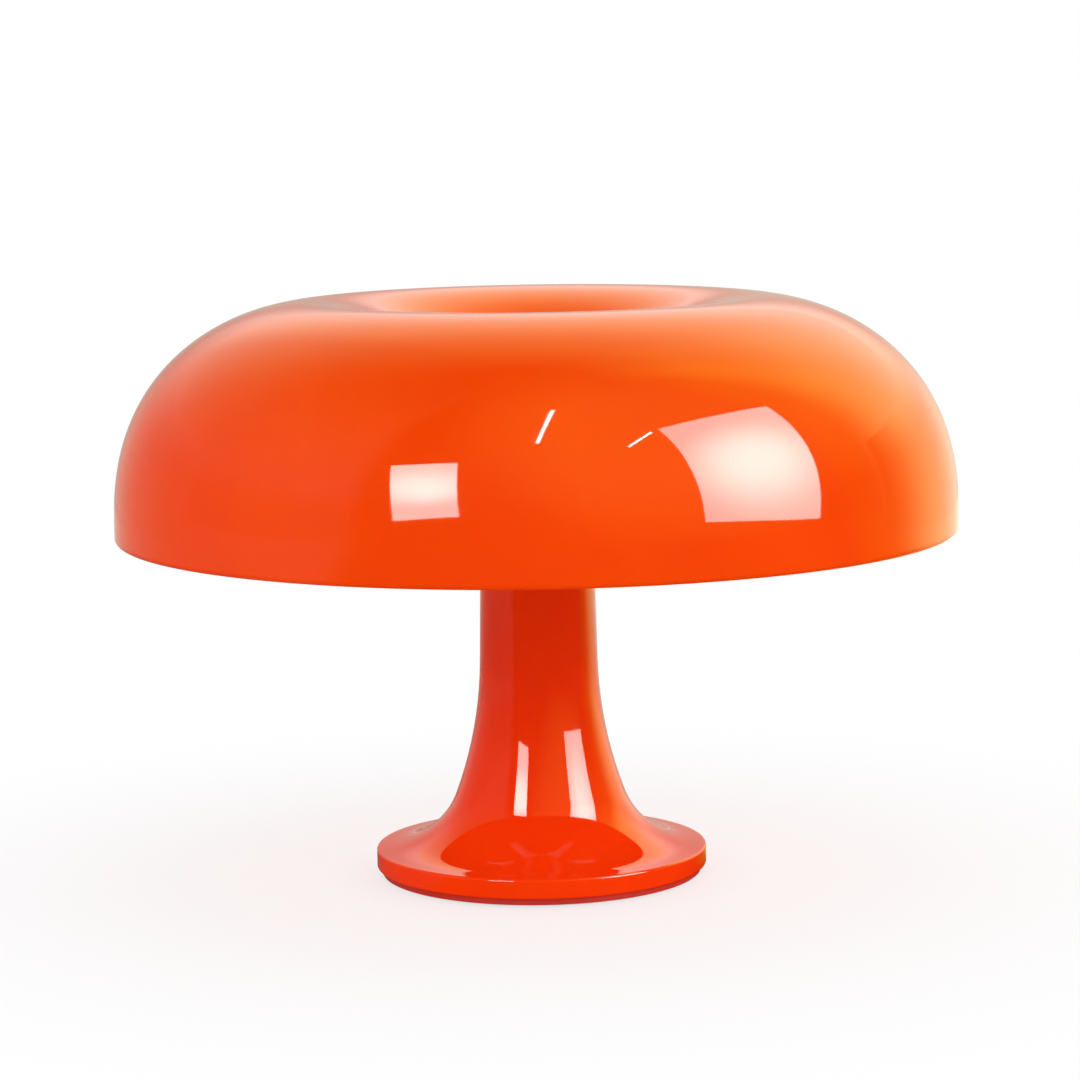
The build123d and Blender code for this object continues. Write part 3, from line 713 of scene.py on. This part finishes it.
world = bpy.data.worlds.new("room")
scene.world = world
world.use_nodes = True
tree = world.node_tree
tree.nodes.clear()
ambient = 2.0
glow_level = 0.85
way = add(tree, "TexCoord").outputs["Generated"]
height, walls = walls_around(tree, way)
rise = add(tree, "ValToRGB", links={"Fac": height})
stops = [(0.0, 0.5, 1.0), (1.0, 0.01, 0.5), (0.15, 0.55, 0.95), (0.22, 0.72, 0.92), (0.3, 0.95, 0.9),
         (0.37, 1.0, 0.85), (0.5, 1.0, 0.7), (0.656, 1.0, 0.52), (0.788, 0.82, 0.38), (0.891, 0.65, 0.25),
         (0.959, 0.3, 0.22), (0.99, 0.01, 0.5)]
for spot, level, blue in stops:
    stop = rise.color_ramp.elements[int(spot)] if spot in (0, 1) else rise.color_ramp.elements.new(spot)
    stop.color = (level, level, level * blue, 1.0)
tinted = add(tree, "VectorMath", {"operation": "MULTIPLY"}, links={0: walls, 1: rise.outputs["Color"]})
lean = add(tree, "VectorMath", {"operation": "DOT_PRODUCT"}, {1: (0.5, -0.5, 0.707)}, {0: way})
warm = add(tree, "MapRange", {"interpolation_type": "SMOOTHSTEP"},
           {"From Min": 0.55, "From Max": 0.97, "To Max": glow_level / wall_full},
           {"Value": lean.outputs["Value"]})
corner = add(tree, "VectorMath", {"operation": "SCALE"}, {0: (1.0, 0.75, 0.1)},
             {"Scale": warm.outputs["Result"]})
both = add(tree, "VectorMath", links={0: tinted.outputs["Vector"], 1: corner.outputs["Vector"]})
mirror = add(tree, "Background", values={"Strength": wall_full}, links={"Color": both.outputs["Vector"]})
even = add(tree, "ValToRGB", links={"Fac": height})
for spot, level in ((0.0, 0.4), (1.0, 0.0), (0.22, 0.42), (0.3, 1.0), (0.67, 1.0), (0.75, 0.0)):
    stop = even.color_ramp.elements[int(spot)] if spot in (0, 1) else even.color_ramp.elements.new(spot)
    stop.color = (level, level, level, 1.0)
plain = add(tree, "Background", values={"Strength": ambient}, links={"Color": even.outputs["Color"]})
white = add(tree, "Background", values={"Color": (1.0, 1.0, 1.0, 1.0), "Strength": 1.0})
seen = add(tree, "LightPath")
open_way = add(tree, "Math", {"operation": "MAXIMUM"},
               links={0: seen.outputs["Is Camera Ray"], 1: seen.outputs["Is Transmission Ray"]})
soft = add(tree, "MixShader", links={0: seen.outputs["Is Glossy Ray"], 1: plain.outputs["Background"],
                                     2: mirror.outputs["Background"]})
whole = add(tree, "MixShader", links={0: open_way.outputs["Value"], 1: soft.outputs["Shader"],
                                      2: white.outputs["Background"]})
add(tree, "OutputWorld", links={"Surface": whole.outputs["Shader"]})

# Sweep: the low curved wall behind the table, dim at its foot, seen only in the lamp's gloss.
# It is what the base mirrors, while the shade looks over it at the brighter walls.

sweep_radius = 1.3
sweep_top = 0.6
sweep = bpy.data.materials.new("sweep_paper_matt")
sweep.use_nodes = True
tree = sweep.node_tree
tree.nodes.clear()
place = add(tree, "TexCoord").outputs["Object"]
height, walls = walls_around(tree, place)
sideways = add(tree, "Math", {"operation": "ABSOLUTE"}, links={0: height.node.outputs["X"]})
foot = add(tree, "MapRange", {"interpolation_type": "SMOOTHSTEP"},
           {"From Min": 0.28, "From Max": 0.7, "To Min": 0.42 * wall_full, "To Max": 0.68 * wall_full},
           {"Value": sideways.outputs["Value"]})
climb = add(tree, "MapRange", {"interpolation_type": "SMOOTHSTEP"},
            {"From Min": 0.34, "From Max": 0.64, "To Max": wall_full},
            {"Value": height, "To Min": foot.outputs["Result"]})
light = add(tree, "Emission", links={"Color": walls, "Strength": climb.outputs["Result"]})
add(tree, "OutputMaterial", links={"Surface": light.outputs["Emission"]})
points, faces = turned([(sweep_radius, 0.0), (sweep_radius, sweep_top)], 96, closed=False)
faces = [face for face in faces if min(points[corner][1] for corner in face) > 0.2]
mesh = bpy.data.meshes.new("sweep")
mesh.from_pydata(points, [], faces)
mesh.materials.append(sweep)
made = bpy.data.objects.new("sweep", mesh)
scene.collection.objects.link(made)


def only_mirrored(made):
    """Hides a thing from the camera and from all light but what gloss mirrors."""
    made.visible_camera = False
    made.visible_diffuse = False
    made.visible_shadow = False
    made.visible_transmission = False


only_mirrored(made)

# Soft lamps: two panels light the lamp from the right and above.
# Their mirror images are the separate glowing panels below, so that gloss and light can each be matched.


def soft_lamp(name, place, aim, width, depth, power):
    """A rectangular lamp that lights surfaces but isn't mirrored in them."""
    data = bpy.data.lights.new(name, "AREA")
    data.shape = "RECTANGLE"
    data.size = width
    data.size_y = depth
    data.energy = power
    made = bpy.data.objects.new(name, data)
    made.location = place
    made.rotation_euler = (Vector(aim) - Vector(place)).to_track_quat("-Z", "Y").to_euler()
    made.visible_glossy = False
    scene.collection.objects.link(made)


lamp_middle = (0.0, 0.0, 0.15)
soft_lamp("lamp_right", (1.185, -0.623, 0.852), lamp_middle, width=0.93, depth=1.31, power=2.1)
soft_lamp("lamp_above", (0.1, -0.1, 1.5), lamp_middle, width=1.2, depth=1.2, power=2.7)


def glowing(name, corners, hot, spread, edge, centre, pale):
    """A panel seen only in gloss, brightest at its hot spot and dimmer towards its edge."""
    material = bpy.data.materials.new(name)
    material.use_nodes = True
    tree = material.node_tree
    tree.nodes.clear()
    place = add(tree, "TexCoord").outputs["Object"]
    off = add(tree, "VectorMath", {"operation": "DISTANCE"}, {1: hot}, {0: place})
    near = add(tree, "MapRange", {"interpolation_type": "SMOOTHERSTEP"},
               {"From Min": spread, "From Max": 0.0, "To Min": edge, "To Max": centre},
               {"Value": off.outputs["Value"]})
    light = add(tree, "Emission", values={"Color": linear(pale)}, links={"Strength": near.outputs["Result"]})
    add(tree, "OutputMaterial", links={"Surface": light.outputs["Emission"]})
    mesh = bpy.data.meshes.new(name)
    mesh.from_pydata(corners, [], [tuple(range(len(corners)))])
    mesh.materials.append(material)
    made = bpy.data.objects.new(name, mesh)
    only_mirrored(made)
    scene.collection.objects.link(made)


left_corners = [(-0.570, -0.692, 0.665), (-0.315, -0.807, 0.720), (-0.604, -1.724, 0.473),
                (-1.083, -1.479, 0.393)]
right_corners = [(0.807, -0.871, 1.517), (1.110, -0.052, 1.278), (1.233, -0.324, 0.170),
                 (0.996, -1.087, 0.263)]
glowing("panel_left", left_corners, hot=(-0.568, -1.038, 0.590), spread=0.45, edge=10.5, centre=20.0,
        pale="#FFF8F2")
glowing("panel_right", right_corners, hot=(1.050, -0.590, 0.726), spread=0.7, edge=8.5, centre=19.0,
        pale="#FFF8F0")

shade_front = Vector((0.0, -0.1, 0.19))
tube_distance = 2.0


def away_from(degrees, rise):
    """A tube's end, by its compass bearing and its rise as seen from the front of the shade."""
    turn, lift = math.radians(degrees), math.radians(rise)
    way = Vector((math.cos(lift) * math.sin(turn), -math.cos(lift) * math.cos(turn), math.sin(lift)))
    return shade_front + tube_distance * way


def tube(name, start, end, width, power):
    """A thin lit tube between two points, seen only in gloss."""
    middle = (start + end) / 2
    side = (end - start).cross(middle - shade_front).normalized() * width / 2
    corners = [tuple(start - side), tuple(start + side), tuple(end + side), tuple(end - side)]
    glowing(name, corners, hot=tuple(middle), spread=0.3, edge=power, centre=power, pale="#FFFFFF")


tube("tube_left", away_from(10.0, 68.7), away_from(0.6, 48.1), width=0.025, power=34.0)
tube("tube_right", away_from(42.6, 49.1), away_from(31.1, 42.7), width=0.022, power=30.0)

# Camera: where the photograph was taken from, 1.34 m in front and 0.3 m up, tilted down 7.5 degrees.
# It is a little rolled. The picture shows colours as they are written, with no film look.

lens = bpy.data.cameras.new("camera")
lens.sensor_width = 36.0
lens.lens = 117.97
camera = bpy.data.objects.new("camera", lens)
camera.matrix_world = (Matrix.Translation((0.0012, -1.339, 0.305))
                       @ Matrix.Rotation(math.radians(90.0 - 7.505), 4, "X")
                       @ Matrix.Rotation(math.radians(-0.886), 4, "Z"))
scene.collection.objects.link(camera)
scene.camera = camera
scene.view_settings.view_transform = "Standard"
